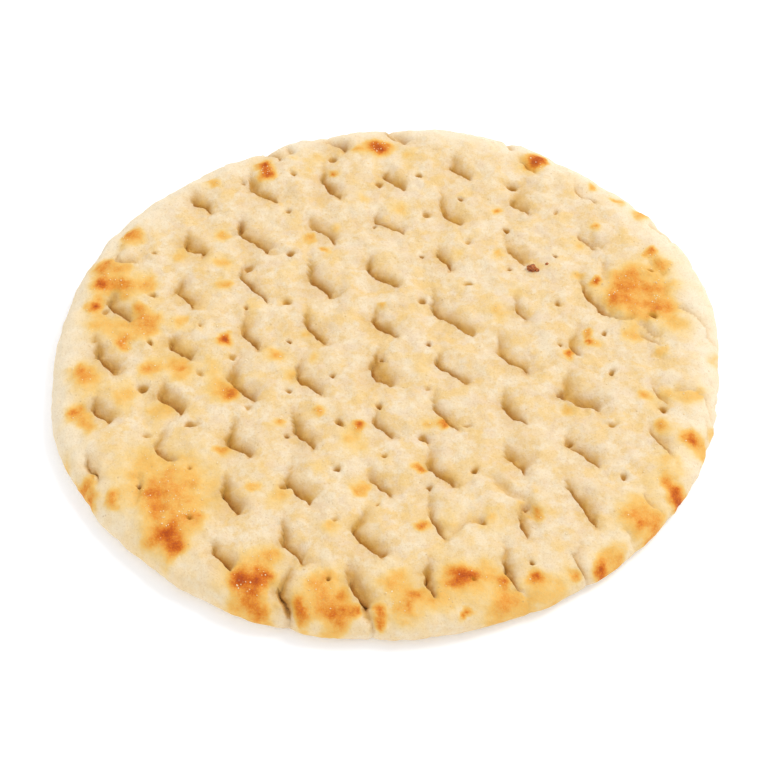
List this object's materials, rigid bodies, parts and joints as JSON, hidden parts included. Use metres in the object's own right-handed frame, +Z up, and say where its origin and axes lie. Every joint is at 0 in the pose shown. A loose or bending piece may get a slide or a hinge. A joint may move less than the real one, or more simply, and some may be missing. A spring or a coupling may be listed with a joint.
{
  "type": "pita bread",
  "caption": "Flat round pocketless pita with a rounded rim and rows of slanted docking dimples, toasted in patches; lies on its flat underside.",
  "frame": {"origin": "middle of the flat underside, on the surface that the bread lies on", "axes": "+Z up through the thickness, docked side up; X and Y in the plane of the round, -Y towards the viewer"},
  "size_m": [0.179, 0.1776, 0.0089],
  "materials": {
    "baked_dough": "matt baked wheat dough, pale cream, toasted golden to brown in patches",
    "flour_grains": "matt pale semolina and flour grains lying on the crust"
  },
  "bodies": {
    "root": {"pita": "baked_dough"}
  },
  "joints": []
}
